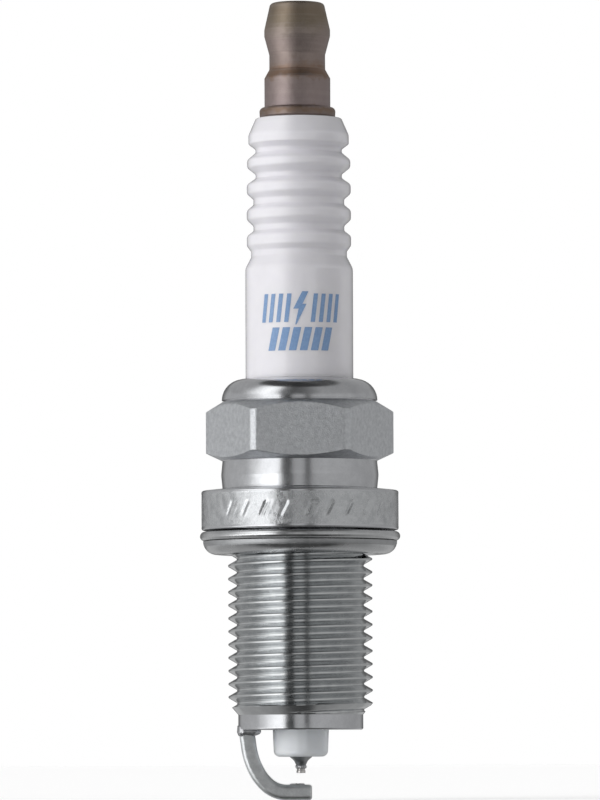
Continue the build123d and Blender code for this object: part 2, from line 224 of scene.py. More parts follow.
def make_object(name, skin, materials, body, sharp=35.0):
    """A mesh object riding on a body, its doubled points merged and its normals outward."""
    mesh = bpy.data.meshes.new(name)
    mesh.from_pydata(skin.points, [], skin.faces)
    for material in materials:
        mesh.materials.append(material)
    mesh.polygons.foreach_set("material_index", skin.looks)
    work = bmesh.new()
    work.from_mesh(mesh)
    bmesh.ops.remove_doubles(work, verts=work.verts, dist=WELD)
    bmesh.ops.dissolve_degenerate(work, edges=work.edges, dist=WELD)
    bmesh.ops.recalc_face_normals(work, faces=work.faces)
    for edge in work.edges:
        if len(edge.link_faces) == 2:
            edge.smooth = edge.calc_face_angle() < math.radians(sharp)
    for face in work.faces:
        face.smooth = True
    work.to_mesh(mesh)
    work.free()
    thing = bpy.data.objects.new(name, mesh)
    bpy.context.scene.collection.objects.link(thing)
    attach(thing, body)
    return thing


def move_x(thing, distance):
    for vertex in thing.data.vertices:
        vertex.co.x += distance * MM


def even_angles(count):
    return [TAU * k / count for k in range(count)]


def turned(name, corners, materials, body="plug", columns=96, closed=True, look=None, wobble=None):
    """Object turned about Z from a section. An open section starts and ends on the axis."""
    skin = Skin()
    section = rounded(corners, closed)
    angles = even_angles(columns)
    rings = []
    for radius, height in section:
        radii = [radius + (wobble(angle, radius, height) if wobble else 0) for angle in angles]
        rings.append(skin.ring(angles, radii, [height] * columns))
    pairs = list(zip(range(len(rings)), range(1, len(rings))))
    if closed:
        pairs.append((len(rings) - 1, 0))
    for first, second in pairs:
        height = (section[first][1] + section[second][1]) / 2
        skin.band(rings[first], rings[second], look(height) if look else 0)
    return make_object(name, skin, materials, body)


def soft_min(values, keen):
    """Smallest of the values, blended where two are close; keen is how tight the blend is, per mm."""
    low = min(values)
    return low - math.log(sum(math.exp(-keen * (value - low)) for value in values)) / keen


def soft_max(values, keen):
    return -soft_min([-value for value in values], keen)


def ripple(x, y, z, scale):
    """Smooth noise between about -1 and 1 at a place in millimetres."""
    return noise.noise(Vector((x / scale, y / scale, z / scale)))


# ---------------------------------------------------------------- materials
def tree(name):
    material = bpy.data.materials.new(name)
    material.use_nodes = True
    nodes, links = material.node_tree.nodes, material.node_tree.links
    return material, nodes, links, nodes["Principled BSDF"]


def in_mm(nodes, links, stretch=(1, 1, 1)):
    """Object coordinates in millimetres, stretched for streaks."""
    place = nodes.new("ShaderNodeTexCoord")
    scale = nodes.new("ShaderNodeMapping")
    scale.inputs["Scale"].default_value = [1000 / s for s in stretch]
    links.new(place.outputs["Object"], scale.inputs["Vector"])
    return scale.outputs["Vector"]


def noise_node(nodes, links, vector, scale, detail=3.0, rough=0.55):
    node = nodes.new("ShaderNodeTexNoise")
    node.inputs["Scale"].default_value = scale
    node.inputs["Detail"].default_value = detail
    node.inputs["Roughness"].default_value = rough
    links.new(vector, node.inputs["Vector"])
    return node.outputs["Fac"]


def to_range(nodes, links, value, low, high, from_low=0.3, from_high=0.7):
    node = nodes.new("ShaderNodeMapRange")
    node.inputs["From Min"].default_value = from_low
    node.inputs["From Max"].default_value = from_high
    node.inputs["To Min"].default_value = low
    node.inputs["To Max"].default_value = high
    links.new(value, node.inputs["Value"])
    return node.outputs["Result"]


def blend_colour(nodes, links, amount, first, second):
    node = nodes.new("ShaderNodeMix")
    node.data_type = "RGBA"
    for socket, colour in ((node.inputs[6], first), (node.inputs[7], second)):
        if isinstance(colour, tuple):
            socket.default_value = (*colour, 1)
        else:
            links.new(colour, socket)
    links.new(amount, node.inputs[0])
    return node.outputs[2]


def bump(nodes, links, shader, layers):
    """Bumps given as (height socket, depth in mm), one on top of another."""
    normal = None
    for height, depth in layers:
        node = nodes.new("ShaderNodeBump")
        node.inputs["Distance"].default_value = depth * MM
        node.inputs["Strength"].default_value = 1.0
        links.new(height, node.inputs["Height"])
        if normal:
            links.new(normal, node.inputs["Normal"])
        normal = node.outputs["Normal"]
    links.new(normal, shader.inputs["Normal"])


def metal(name, light, dark, rough, grain, grain_depth, blotch, blotch_depth=0.0):
    """Metal whose colour and roughness drift with a blotchy noise under a fine grain."""
    material, nodes, links, shader = tree(name)
    vector = in_mm(nodes, links)
    coarse = noise_node(nodes, links, vector, blotch, 4.0)
    fine = noise_node(nodes, links, vector, grain, 2.0, 0.6)
    both = nodes.new("ShaderNodeMath")
    both.operation = "MULTIPLY_ADD"
    links.new(fine, both.inputs[0])
    both.inputs[1].default_value = 0.4
    links.new(coarse, both.inputs[2])
    colour = blend_colour(nodes, links, to_range(nodes, links, both.outputs[0], 0, 1, 0.5, 0.9), dark, light)
    links.new(colour, shader.inputs["Base Color"])
    links.new(to_range(nodes, links, coarse, *rough), shader.inputs["Roughness"])
    shader.inputs["Metallic"].default_value = 1.0
    layers = [(fine, grain_depth)]
    if blotch_depth:
        layers.append((coarse, blotch_depth))
    bump(nodes, links, shader, layers)
    return material


# Metals, as name: (light colour, dark colour, roughness from and to, grain per mm, grain depth in mm,
# blotches per mm, blotch depth in mm)
METALS = {
    "bright_plate": ((0.68, 0.69, 0.71), (0.60, 0.61, 0.63), (0.13, 0.2), 6.0, 0.002, 0.9),
    "tumbled_plate": ((0.80, 0.82, 0.845), (0.62, 0.64, 0.665), (0.36, 0.44), 8.0, 0.045, 2.4, 0.006),
    "stamped_plate": ((0.74, 0.755, 0.77), (0.54, 0.555, 0.57), (0.18, 0.36), 7.0, 0.014, 1.3, 0.03),
    "thread_plate": ((0.69, 0.705, 0.71), (0.595, 0.61, 0.62), (0.10, 0.17), 7.0, 0.0012, 1.2),
    "gasket_plate": ((0.70, 0.71, 0.72), (0.58, 0.59, 0.60), (0.18, 0.3), 6.0, 0.004, 0.8, 0.01),
    # Plate for the gasket's lower curl: its roughness is real, its darker colour is painted shade.
    "rough_shaded_plate": ((0.56, 0.57, 0.58), (0.44, 0.45, 0.46), (0.42, 0.52), 6.0, 0.01, 0.8, 0.01),
    "nickel_alloy": ((0.80, 0.82, 0.83), (0.62, 0.64, 0.65), (0.32, 0.44), 6.0, 0.014, 1.2, 0.012),
    "dark_nickel": ((0.46, 0.47, 0.48), (0.30, 0.31, 0.315), (0.3, 0.42), 7.0, 0.01, 1.6, 0.01),
    "weld_metal": ((0.74, 0.745, 0.76), (0.38, 0.385, 0.40), (0.24, 0.42), 6.0, 0.02, 2.0, 0.02),
    "iridium": ((0.84, 0.82, 0.80), (0.62, 0.60, 0.585), (0.22, 0.34), 12.0, 0.004, 3.0),
    "platinum": ((0.70, 0.69, 0.67), (0.52, 0.51, 0.50), (0.25, 0.4), 12.0, 0.006, 3.0),
    "copper": ((0.86, 0.52, 0.36), (0.70, 0.38, 0.25), (0.25, 0.4), 6.0, 0.004, 1.0),
    "plain_steel": ((0.52, 0.52, 0.52), (0.40, 0.40, 0.40), (0.3, 0.45), 6.0, 0.006, 1.0),
}
metals = {name: metal(name, *values) for name, values in METALS.items()}

# Heat tint down the terminal, as (height in mm, colour)
TINT_BANDS = ((39.6, (0.30, 0.24, 0.215)), (40.1, (0.28, 0.20, 0.15)), (40.6, (0.385, 0.315, 0.31)),
              (42.9, (0.385, 0.315, 0.30)), (43.5, (0.30, 0.205, 0.15)), (44.1, (0.31, 0.215, 0.165)),
              (44.8, (0.37, 0.30, 0.275)), (46.6, (0.385, 0.315, 0.295)), (47.6, (0.37, 0.31, 0.275)),
              (48.7, (0.315, 0.26, 0.20)), (49.6, (0.305, 0.245, 0.185)), (50.5, (0.33, 0.275, 0.225)))


TINT_DRIFT = 1.6
RUBBED = (0.52, 0.45, 0.42)
STAINED = (0.2, 0.15, 0.13)


def ramp_node(nodes, links, value, stops):
    """Colour ramp over stops given as (position, colour)."""
    node = nodes.new("ShaderNodeValToRGB")
    points = node.color_ramp.elements
    while len(points) < len(stops):
        points.new(0.5)
    for point, (position, _) in zip(points, stops):
        point.position = position
    for point, (_, colour) in zip(points, stops):
        point.color = (*colour, 1)
    links.new(value, node.inputs[0])
    return node.outputs[0]


def tinted_steel(name):
    """Steel tinted by the furnace in soft bands, faintly scored by the lathe and rubbed here and there."""
    material, nodes, links, shader = tree(name)
    vector = in_mm(nodes, links)
    patch = noise_node(nodes, links, vector, 0.9, 4.0, 0.6)
    fine = noise_node(nodes, links, vector, 7.0, 2.0, 0.6)
    rings = noise_node(nodes, links, in_mm(nodes, links, (6, 6, 0.16)), 0.8, 3.0)
    apart = nodes.new("ShaderNodeSeparateXYZ")
    links.new(vector, apart.inputs[0])
    drift = nodes.new("ShaderNodeMath")
    drift.operation = "MULTIPLY_ADD"
    links.new(patch, drift.inputs[0])
    drift.inputs[1].default_value = TINT_DRIFT
    links.new(apart.outputs[2], drift.inputs[2])
    low, high = TINT_BANDS[0][0], TINT_BANDS[-1][0]
    offset = LIFT + TINT_DRIFT / 2
    along = to_range(nodes, links, drift.outputs[0], 0, 1, low + offset, high + offset)
    tint = ramp_node(nodes, links, along,
                     [((height - low) / (high - low), colour) for height, colour in TINT_BANDS])
    worn = blend_colour(nodes, links, to_range(nodes, links, rings, 0, 0.35, 0.5, 0.8), tint, RUBBED)
    spots = blend_colour(nodes, links, to_range(nodes, links, patch, 0.22, 0, 0.3, 0.5), worn, STAINED)
    links.new(spots, shader.inputs["Base Color"])
    links.new(to_range(nodes, links, patch, 0.38, 0.56), shader.inputs["Roughness"])
    shader.inputs["Metallic"].default_value = 1.0
    bump(nodes, links, shader, [(fine, 0.012), (rings, 0.012), (patch, 0.02)])
    return material


tinted = tinted_steel("tinted_steel")


def ceramic(name, light, dark, rough, coat, grain_depth):
    """Fired alumina under a thin glaze of the given weight."""
    material, nodes, links, shader = tree(name)
    vector = in_mm(nodes, links)
    cloud = noise_node(nodes, links, vector, 0.5, 3.0)
    grain = noise_node(nodes, links, vector, 9.0, 2.0)
    links.new(blend_colour(nodes, links, to_range(nodes, links, cloud, 0, 1), dark, light),
              shader.inputs["Base Color"])
    links.new(to_range(nodes, links, cloud, *rough), shader.inputs["Roughness"])
    shader.inputs["Coat Weight"].default_value = coat
    shader.inputs["Coat Roughness"].default_value = 0.08
    shader.inputs["Subsurface Weight"].default_value = 0.4
    shader.inputs["Subsurface Radius"].default_value = (0.001, 0.001, 0.0011)
    shader.inputs["Subsurface Scale"].default_value = 1.0
    bump(nodes, links, shader, [(grain, grain_depth), (cloud, 0.01)])
    return material


glazed = ceramic("glazed_alumina", (0.80, 0.79, 0.825), (0.765, 0.755, 0.79), (0.14, 0.24), 0.6, 0.001)
bisque = ceramic("bare_alumina", (0.78, 0.805, 0.83), (0.72, 0.745, 0.77), (0.45, 0.6), 0.0, 0.004)


def powder(name, light, dark, rough):
    """Dull mineral filling with a speckled grain."""
    material, nodes, links, shader = tree(name)
    vector = in_mm(nodes, links)
    speck = noise_node(nodes, links, vector, 5.0, 4.0)
    links.new(blend_colour(nodes, links, to_range(nodes, links, speck, 0, 1), dark, light),
              shader.inputs["Base Color"])
    links.new(to_range(nodes, links, speck, *rough), shader.inputs["Roughness"])
    bump(nodes, links, shader, [(speck, 0.02)])
    return material


talc = powder("talc", (0.88, 0.87, 0.84), (0.74, 0.73, 0.70), (0.8, 0.95))
seal_glass = powder("seal_glass", (0.24, 0.22, 0.21), (0.12, 0.12, 0.13), (0.2, 0.35))
resistor_mix = powder("resistor_mix", (0.16, 0.16, 0.17), (0.07, 0.07, 0.075), (0.6, 0.8))
ink = powder("ink", (0.21, 0.33, 0.54), (0.16, 0.27, 0.47), (0.3, 0.45))


# ---------------------------------------------------------------- shell
CORNER_COLUMNS = [25.5, 26.4, 26.9, 27.18, 27.5, 28.0, 29.0]
NEAR_EDGE = (0.12, 0.08, 0.05, 0.025, 0, -0.025, -0.05, -0.08, -0.12)
SIDE_KEEN = 60
CHAMFER_KEEN = 30
CREST_KEEN = 60
ROOT_KEEN = 45


def shell_columns():
    """Column angles, closer together at the hexagon's corners."""
    side = [1.5 * k for k in range(1, 17)] + CORNER_COLUMNS
    local = [-30.0] + [-offset for offset in reversed(side)] + [0.0] + side
    return sorted(math.radians((60 * sector + 30 + offset) % 360) for sector in range(6) for offset in local)


def finer(angles, times):
    """The same angles with others evenly between them."""
    out = []
    for index, angle in enumerate(angles):
        following = angles[index + 1] if index + 1 < len(angles) else angles[0] + TAU
        out += [angle + (following - angle) * k / times for k in range(times)]
    return out


def hex_reach(angle):
    """Radius of the rounded hexagon's side at an angle."""
    offset = (math.degrees(angle) % 60) - 30
    return soft_min([HEX_HALF / math.cos(math.radians(offset)), HEX_CORNER_R], SIDE_KEEN)


TOP_SLOPE = (HEX_CORNER_R - COLLAR_R) / TOP_CHAMFER
BOTTOM_SLOPE = (HEX_CORNER_R - COLLAR_R) / BOTTOM_CHAMFER


def hex_rings(skin, angles):
    """Rings down the hexagon, gathered where each side meets its chamfers."""
    columns = []
    for angle in angles:
        side = hex_reach(angle)
        top = HEX_TOP - (side - COLLAR_R) / TOP_SLOPE
        bottom = HEX_BOTTOM + (side - COLLAR_R) / BOTTOM_SLOPE
        near = NEAR_EDGE[0]
        heights = [HEX_TOP, HEX_TOP - 0.02]
        heights += [HEX_TOP + (top + near - HEX_TOP) * k / 5 for k in range(1, 5)]
        heights += [top + offset for offset in NEAR_EDGE]
        heights += [top - near + (bottom - top + 2 * near) * k / 10 for k in range(1, 10)]
        heights += [bottom + offset for offset in NEAR_EDGE]
        heights += [bottom - near + (HEX_BOTTOM - bottom + near) * k / 5 for k in range(1, 5)]
        heights += [HEX_BOTTOM + 0.01]
        column = []
        for z in heights:
            upper = COLLAR_R + (HEX_TOP - z) * TOP_SLOPE
            lower = COLLAR_R + (z - HEX_BOTTOM) * BOTTOM_SLOPE
            dent = 0.006 * ripple(side * math.cos(angle), side * math.sin(angle), z, 1.3)
            fade = min(1, 2 * (HEX_TOP - z), 2 * (z - HEX_BOTTOM))
            column.append((soft_min([side, upper, lower], CHAMFER_KEEN) + dent * fade, z))
        column[0] = (COLLAR_R, HEX_TOP)
        columns.append(column)
    rings = []
    for row in range(len(columns[0])):
        rings.append(skin.ring(
            angles, [column[row][0] for column in columns], [column[row][1] for column in columns]))
    return rings


# Stamped notches, as (degrees round the plug, force, distance to a fainter second strike or 0)
NOTCHES = [
    (224.6, 0.65, 0.4), (235.9, 0.75, 0), (248.1, 1.0, 0.42), (260.2, 0.8, 0), (275.0, 1.0, 0.36),
    (286.9, 0.8, 0), (299.2, 0.9, 0), (311.4, 0.8, 0.4), (323.5, 0.9, 0), (336.2, 0.8, 0)]
NOTCH_MIDDLE = 1.88
NOTCH_HALF_LENGTH = 0.78
NOTCH_HALF_WIDTH = 0.16
NOTCH_DEPTH = 0.1
NOTCH_SLANT = math.radians(27)
NOTCH_REACH = 1.4
BURR_HEIGHT = 0.03
BURR_ASIDE = 0.33
BURR_WIDTH = 0.12
SECOND_FORCE = 0.5


def notch_depth(angle, z):
    """How far the flange's face is pressed in at a place, with a low burr beside each notch."""
    depth = 0
    for degrees, force, second in NOTCHES:
        for shift, share in ((0, 1), (second, SECOND_FORCE)) if second else ((0, 1),):
            along_rim = FLANGE_R * (angle - math.radians(degrees)) - shift
            if abs(along_rim) > NOTCH_REACH:
                continue
            rise = z - NOTCH_MIDDLE
            along = rise * math.cos(NOTCH_SLANT) + along_rim * math.sin(NOTCH_SLANT)
            across = along_rim * math.cos(NOTCH_SLANT) - rise * math.sin(NOTCH_SLANT)
            end = math.exp(-((along / NOTCH_HALF_LENGTH) ** 6))
            width = NOTCH_HALF_WIDTH * (1 + 0.25 * along)
            groove = math.exp(-((across / width) ** 2))
            burr = math.exp(-(((across - BURR_ASIDE) / BURR_WIDTH) ** 2))
            depth += share * force * end * (NOTCH_DEPTH * groove - BURR_HEIGHT * burr)
    return depth


# Rows down half a pitch from a crest, gathered at the crest's and the root's roundings
THREAD_PHASES = (0, 0.04, 0.066, 0.09, 0.12, 0.18, 0.26, 0.34, 0.41, 0.45, 0.49, 0.53, 0.575)
THREAD_TURNS = 14
SAME_PLACE = 1.5e-7


def thread_radius(angle, z):
    """Radius of the right-hand thread at an angle and height."""
    crest = CREST_AT_ZERO + PITCH * angle / TAU
    away = abs((z - crest + PITCH / 2) % PITCH - PITCH / 2)
    flank = CREST_R - (away - CREST_FLAT / 2) / math.tan(FLANK_ANGLE)
    profile = soft_max([soft_min([flank, CREST_R], CREST_KEEN), ROOT_R], ROOT_KEEN)
    start = NECK_R + (NECK_END - z)
    end = PILOT_R + (z - PILOT_TOP) * RUNOUT_SLOPE
    return min(profile, start, end)


def thread_rows(skin, angles, look):
    """Rows that follow the thread's own slope, clamped between the neck and the pilot."""
    phases = [*THREAD_PHASES, PITCH / 2] + [PITCH - phase for phase in reversed(THREAD_PHASES[1:])]
    per_turn = len(phases)
    rows = THREAD_TURNS * per_turn
    start = CREST_AT_ZERO + 2 * PITCH
    columns = []
    for angle in angles:
        column = []
        for row in range(rows + 1):
            z = start + PITCH * angle / TAU - PITCH * (row // per_turn) - phases[row % per_turn]
            z = max(PILOT_TOP, min(NECK_END, z))
            radius = thread_radius(angle, z)
            wear = 0.003 * ripple(radius * math.cos(angle), radius * math.sin(angle), z, 0.9)
            if NECK_END - 0.3 > z > PILOT_TOP + 0.3:
                radius += wear
            column.append(skin.ring([angle], [radius], [z])[0])
        columns.append(column)
    for index, column in enumerate(columns):
        last = index == len(columns) - 1
        following = columns[0] if last else columns[index + 1]
        for row in range(rows):
            ahead = max(row - per_turn, 0) if last else row
            ahead_next = max(row + 1 - per_turn, 0) if last else row + 1
            corners = []
            for corner in (column[row], column[row + 1], following[ahead_next], following[ahead]):
                place = skin.points[corner]
                if all(math.dist(place, skin.points[kept]) > SAME_PLACE for kept in corners):
                    corners.append(corner)
            if len(corners) > 2:
                skin.face(corners, look)


BRIGHT, TUMBLED, STAMPED, THREAD = range(4)
STAMPED_ROWS = 58


def make_shell():
    """The whole shell as one closed skin: lip, hexagon, barrel, stamped flange, neck, thread and bore."""
    skin = Skin()
    angles = shell_columns()
    fine = finer(angles, 4)

    lip = rounded([(CHAMBER_R, 10), (CHAMBER_R, LIP_UNDERSIDE, 0.55), (LIP_INNER_R, LIP_UNDERSIDE, 0.2),
                   (LIP_INNER_R, LIP_TOP, 0.2), (COLLAR_R, LIP_TOP, LIP_ROUND),
                   (COLLAR_R, RELIEF_TOP + 0.04, 0.03), (RELIEF_R, RELIEF_TOP, 0.04),
                   (RELIEF_R, HEX_TOP + 0.06, 0.04), (COLLAR_R, HEX_TOP + 0.02)])
    first, last = skin.lathe(angles, lip, BRIGHT)
    rings = hex_rings(skin, angles)
    skin.band(last, rings[0], BRIGHT)
    for above, below in zip(rings, rings[1:]):
        skin.band(above, below, TUMBLED)
    barrel = rounded([(COLLAR_R, HEX_BOTTOM), (BARREL_R, 6.59), (BARREL_BULGE_R, 5.28, 1.5),
                      (BARREL_R, 3.96, 0.1), (FLANGE_R, FLANGE_TOP, 0.2), (FLANGE_R, STAMPED_TOP + 0.05)])
    _, last = skin.lathe(angles, barrel, BRIGHT, before=rings[-1])

    for row in range(STAMPED_ROWS + 1):
        z = STAMPED_TOP - (STAMPED_TOP - STAMPED_BOTTOM) * row / STAMPED_ROWS
        fade = min(1, 4 * row / STAMPED_ROWS, 4 * (STAMPED_ROWS - row) / STAMPED_ROWS)
        radii = []
        for angle in fine:
            x, y = FLANGE_R * math.cos(angle), FLANGE_R * math.sin(angle)
            dents = 0.012 * ripple(x, y, z, 1.1) + 0.01 * ripple(x, y, z * 0.4, 2.6)
            radii.append(FLANGE_R - 0.01 + fade * dents - notch_depth(angle, z))
        ring = skin.ring(fine, radii, [z] * len(fine))
        skin.band(last, ring, STAMPED)
        last = ring

    neck = rounded([(FLANGE_R, STAMPED_BOTTOM - 0.05), (FLANGE_R, 0, 0.2), (NECK_R, 0, 0.1),
                    (NECK_R, NECK_END)])
    skin.lathe(angles, neck, BRIGHT, before=last)
    thread_rows(skin, angles, THREAD)
    inside = rounded([
        (PILOT_R, PILOT_TOP), (PILOT_R, -REACH, 0.2), (MOUTH_R, -REACH, 0.1), (MOUTH_R, -9.85, 0.1),
        (SEAT_R, -9.5, 0.1), (SEAT_R, -7.7, 0.1), (BARREL_BORE_R, -7.0), (BARREL_BORE_R, -0.68, 0.3),
        (CHAMBER_R, 1.0, 0.3), (CHAMBER_R, 9.9)])
    _, last = skin.lathe(angles, inside, BRIGHT)
    skin.band(last, first, BRIGHT)
    plates = [metals[name] for name in ("bright_plate", "tumbled_plate", "stamped_plate", "thread_plate")]
    return make_object("shell_skin", skin, plates, "plug", sharp=24)


shell = make_shell()
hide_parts("shell")


# ---------------------------------------------------------------- insulator and its print
# Each groove and the rib under it, as (groove radius, its top and bottom, rib radius, its top and bottom)
RIBS = ((4.12, 36.45, 36.10, 4.94, 35.40, 34.70), (4.12, 34.05, 33.65, 4.97, 33.05, 32.20),
        (4.34, 31.65, 31.10, 4.98, 30.55, 29.70), (4.34, 29.10, 28.60, 4.98, 28.10, 27.20))
LAST_GROOVE = (4.58, 26.65, 26.10)


def rib_corners():
    """Ribs and grooves from the top down."""
    out = []
    for groove, groove_top, groove_bottom, rib, rib_top, rib_bottom in RIBS:
        out += [(groove, groove_top, GROOVE_ROUND), (groove, groove_bottom, GROOVE_ROUND),
                (rib, rib_top, RIB_ROUND), (rib, rib_bottom, RIB_ROUND)]
    radius, top, bottom = LAST_GROOVE
    return out + [(radius, top, GROOVE_ROUND), (radius, bottom, GROOVE_ROUND)]


def ceramic_ripple(angle, radius, height):
    """Slight unevenness of the fired outside; the bores stay true."""
    if radius < 2.3:
        return 0
    return 0.006 * ripple(radius * math.cos(angle), radius * math.sin(angle), height * 0.6, 3.0)


GLAZED, BARE = range(2)
GLAZE_ENDS = 9
insulator = turned(
    "insulator_skin",
    [(STEM_BORE_R, INSULATOR_TOP, 0.1), (4.1, INSULATOR_TOP, 0.2), (4.8, 37.8, 0.8), (4.8, 36.95, 0.2)]
    + rib_corners() + [
        (BODY_R, 25.0, 1.0), (BODY_R, 8.2, 0.1), (COLLAR_OUT_R, 7.8, 0.2), (COLLAR_OUT_R, 1.2, 0.3),
        (WAIST_R, -0.4, 0.3), (WAIST_R, -6.77, 0.1), (3.8, -7.5, 0.1), (3.6, -8.2, 0.3),
        (2.67, -REACH, 0), (2.57, NOSE_END, 0.6), (ELECTRODE_BORE_R, NOSE_END, 0.05),
        (ELECTRODE_BORE_R, -5.05), (STEM_BORE_R, -4.2)],
    [glazed, bisque], columns=192, look=lambda z: GLAZED if z > GLAZE_ENDS else BARE,
    wobble=ceramic_ripple)
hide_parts("insulator")


PRINT_PROUD = 0.018
PRINT_SUNK = 0.03
PRINT_WIDE_STEP = 0.15
PRINT_TALL_STEP = 0.3
FRONT = math.radians(270)


def print_slab(skin, corners):
    """A thin printed patch wrapped on the insulator, from four corners (distance round, height)."""
    (s0, z0), (s1, z1), (s2, z2), (s3, z3) = corners
    wide = max(2, math.ceil(max(abs(s1 - s0), abs(s2 - s3)) / PRINT_WIDE_STEP))
    tall = max(2, math.ceil(max(abs(z3 - z0), abs(z2 - z1)) / PRINT_TALL_STEP))
    layers = []
    for radius in (BODY_R + PRINT_PROUD, BODY_R - PRINT_SUNK):
        rows = []
        for i in range(tall + 1):
            v = i / tall
            row = []
            for j in range(wide + 1):
                u = j / wide
                s = (s0 * (1 - u) + s1 * u) * (1 - v) + (s3 * (1 - u) + s2 * u) * v
                z = (z0 * (1 - u) + z1 * u) * (1 - v) + (z3 * (1 - u) + z2 * u) * v
                row.append(skin.ring([FRONT + s / BODY_R], [radius], [z])[0])
            rows.append(row)
        layers.append(rows)
    top, low = layers
    for i in range(tall):
        for j in range(wide):
            skin.face([top[i][j], top[i + 1][j], top[i + 1][j + 1], top[i][j + 1]], 0)
            skin.face([low[i][j + 1], low[i + 1][j + 1], low[i + 1][j], low[i][j]], 0)
    for j in range(wide):
        skin.face([top[0][j + 1], low[0][j + 1], low[0][j], top[0][j]], 0)
        skin.face([top[tall][j], low[tall][j], low[tall][j + 1], top[tall][j + 1]], 0)
    for i in range(tall):
        skin.face([top[i][0], low[i][0], low[i + 1][0], top[i + 1][0]], 0)
        skin.face([top[i + 1][wide], low[i + 1][wide], low[i][wide], top[i][wide]], 0)


def leaning(left, width, bottom, top, lean):
    """A slanted bar's four corners."""
    shift = (top - bottom) * lean
    return [(left + shift, top), (left + width + shift, top), (left + width, bottom), (left, bottom)]


def make_print():
    """Plain marks where a maker would print: two rows of slanted bars round a lightning flash."""
    skin = Skin()
    for left in (-3.9, -3.1, -2.3, -1.5, 1.05, 1.85, 2.65, 3.45):
        print_slab(skin, leaning(left, 0.42, 19.6, 22.3, 0.12))
    print_slab(skin, [(0.25, 22.5), (0.85, 22.5), (0.05, 20.85), (-0.6, 20.85)])
    print_slab(skin, [(0.0, 21.3), (0.65, 21.3), (-0.3, 19.35), (-0.42, 19.35)])
    for left in (-3.15, -2.1, -1.05, 0.0, 1.05, 2.1):
        print_slab(skin, leaning(left, 0.72, 16.9, 19.1, 0.22))
    make_object("print_marks", skin, [ink], "plug")


make_print()

# ---------------------------------------------------------------- terminal
stem_grooves = []
for groove in range(STEM_CRESTS):
    crest = STEM_TOP_CREST - STEM_CREST_STEP * groove
    stem_grooves += [(STEM_R, crest), (STEM_GROOVE_R, crest - STEM_FALL)]

terminal = turned(
    "terminal_skin",
    [(0, TERMINAL_TOP), (2.565, TERMINAL_TOP, 0.4), (TERMINAL_R, 47.9, 0.5), (TERMINAL_R, 47.3, 0.3),
     (TERMINAL_WAIST_R, 45.5, 0.5), (TERMINAL_WAIST_R, 44.1, 0.3), (TERMINAL_R, 43.25, 0.15),
     (TERMINAL_R, 40.45, 0.05), (3.65, 40.42, 0.4), (3.6, INSULATOR_TOP, 0.3), (STEM_R, INSULATOR_TOP)]
    + stem_grooves
    + [(STEM_R, STEM_TOP_CREST - STEM_CRESTS * STEM_CREST_STEP), (STEM_GROOVE_R, STEM_END), (0, STEM_END)],
    [tinted], columns=160, closed=False,
    wobble=lambda a, r, z: 0.008 * ripple(r * math.cos(a), r * math.sin(a), z, 1.2) if r > 2 else 0)
move_x(terminal, TERMINAL_ASIDE)
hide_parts("terminal_stud")


# ---------------------------------------------------------------- gasket and side electrode
def track(start, heading, moves, step, run_step):
    """Points (x, z, heading) along runs (length,) and arcs (radius, degrees)."""
    x, z = start
    theta = math.radians(heading)
    out = [(x, z, theta)]
    for move in moves:
        if len(move) == 1:
            pieces = max(2, math.ceil(move[0] / run_step))
            for piece in range(pieces):
                x += move[0] / pieces * math.cos(theta)
                z += move[0] / pieces * math.sin(theta)
                out.append((x, z, theta))
            continue
        radius, degrees = move
        side = 1 if degrees > 0 else -1
        centre = (x - side * radius * math.sin(theta), z + side * radius * math.cos(theta))
        pieces = max(3, math.ceil(abs(degrees) / step))
        for piece in range(1, pieces + 1):
            angle = theta + math.radians(degrees) * piece / pieces
            out.append((centre[0] + side * radius * math.sin(angle),
                        centre[1] - side * radius * math.cos(angle), angle))
        x, z, theta = out[-1]
    return out


STRIP = 0.42
FOLD_GAP = 0.05
GASKET_INNER_R = 6.45
GASKET_TOP_LINE = -0.33
GASKET_BOTTOM_LINE = -2.09
GASKET_COLUMNS = 240
# Band on the outside of the gasket's lower curl that takes the rougher plate with painted shade in its
# darker colour
SHADED_CURL_R = 8.8
SHADED_CURL_TOP = -1.0
SHADED_CURL_BOTTOM = -1.6


def make_gasket():
    """Ring rolled from strip into an S, a little uneven round the rim; the outside of the lower curl under
    its fold gets a rougher plate whose darker colour is painted shade.
    """
    top, bottom = GASKET_TOP_LINE, GASKET_BOTTOM_LINE
    second = top - STRIP - FOLD_GAP
    line = track((GASKET_INNER_R, top), 0, [
        (2.65,), ((top - second) / 2, -180), (1.6,), ((second - bottom) / 2, 180), (0.5,), (1.04, 90)],
        step=12, run_step=0.5)
    outer, inner = [], []
    for x, z, theta in line:
        half = STRIP / 2
        across = (-math.sin(theta), math.cos(theta))
        outer.append((x - across[0] * half, z - across[1] * half))
        inner.append((x + across[0] * half, z + across[1] * half))
    loop = outer + inner[::-1]
    skin = Skin()
    angles = even_angles(GASKET_COLUMNS)
    rings = []
    for radius, height in loop:
        radii, heights = [], []
        for angle in angles:
            wave = 0.012 * ripple(3 * math.cos(angle), 3 * math.sin(angle), height, 1.4)
            radii.append(radius + wave * (radius - 7))
            heights.append(height + 0.4 * wave * min(1, (height - bottom + STRIP / 2) * 2))
        rings.append(skin.ring(angles, radii, heights))
    for index, (radius, height) in enumerate(loop):
        # The lower curl's outside takes the rougher plate; its darker colour is painted shade.
        shaded_curl = radius > SHADED_CURL_R and SHADED_CURL_BOTTOM < height < SHADED_CURL_TOP
        skin.band(rings[index], rings[(index + 1) % len(rings)], int(shaded_curl))
    return make_object("gasket_skin", skin, [metals["gasket_plate"], metals["rough_shaded_plate"]], "gasket_ring")


gasket = make_gasket()
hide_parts("gasket")


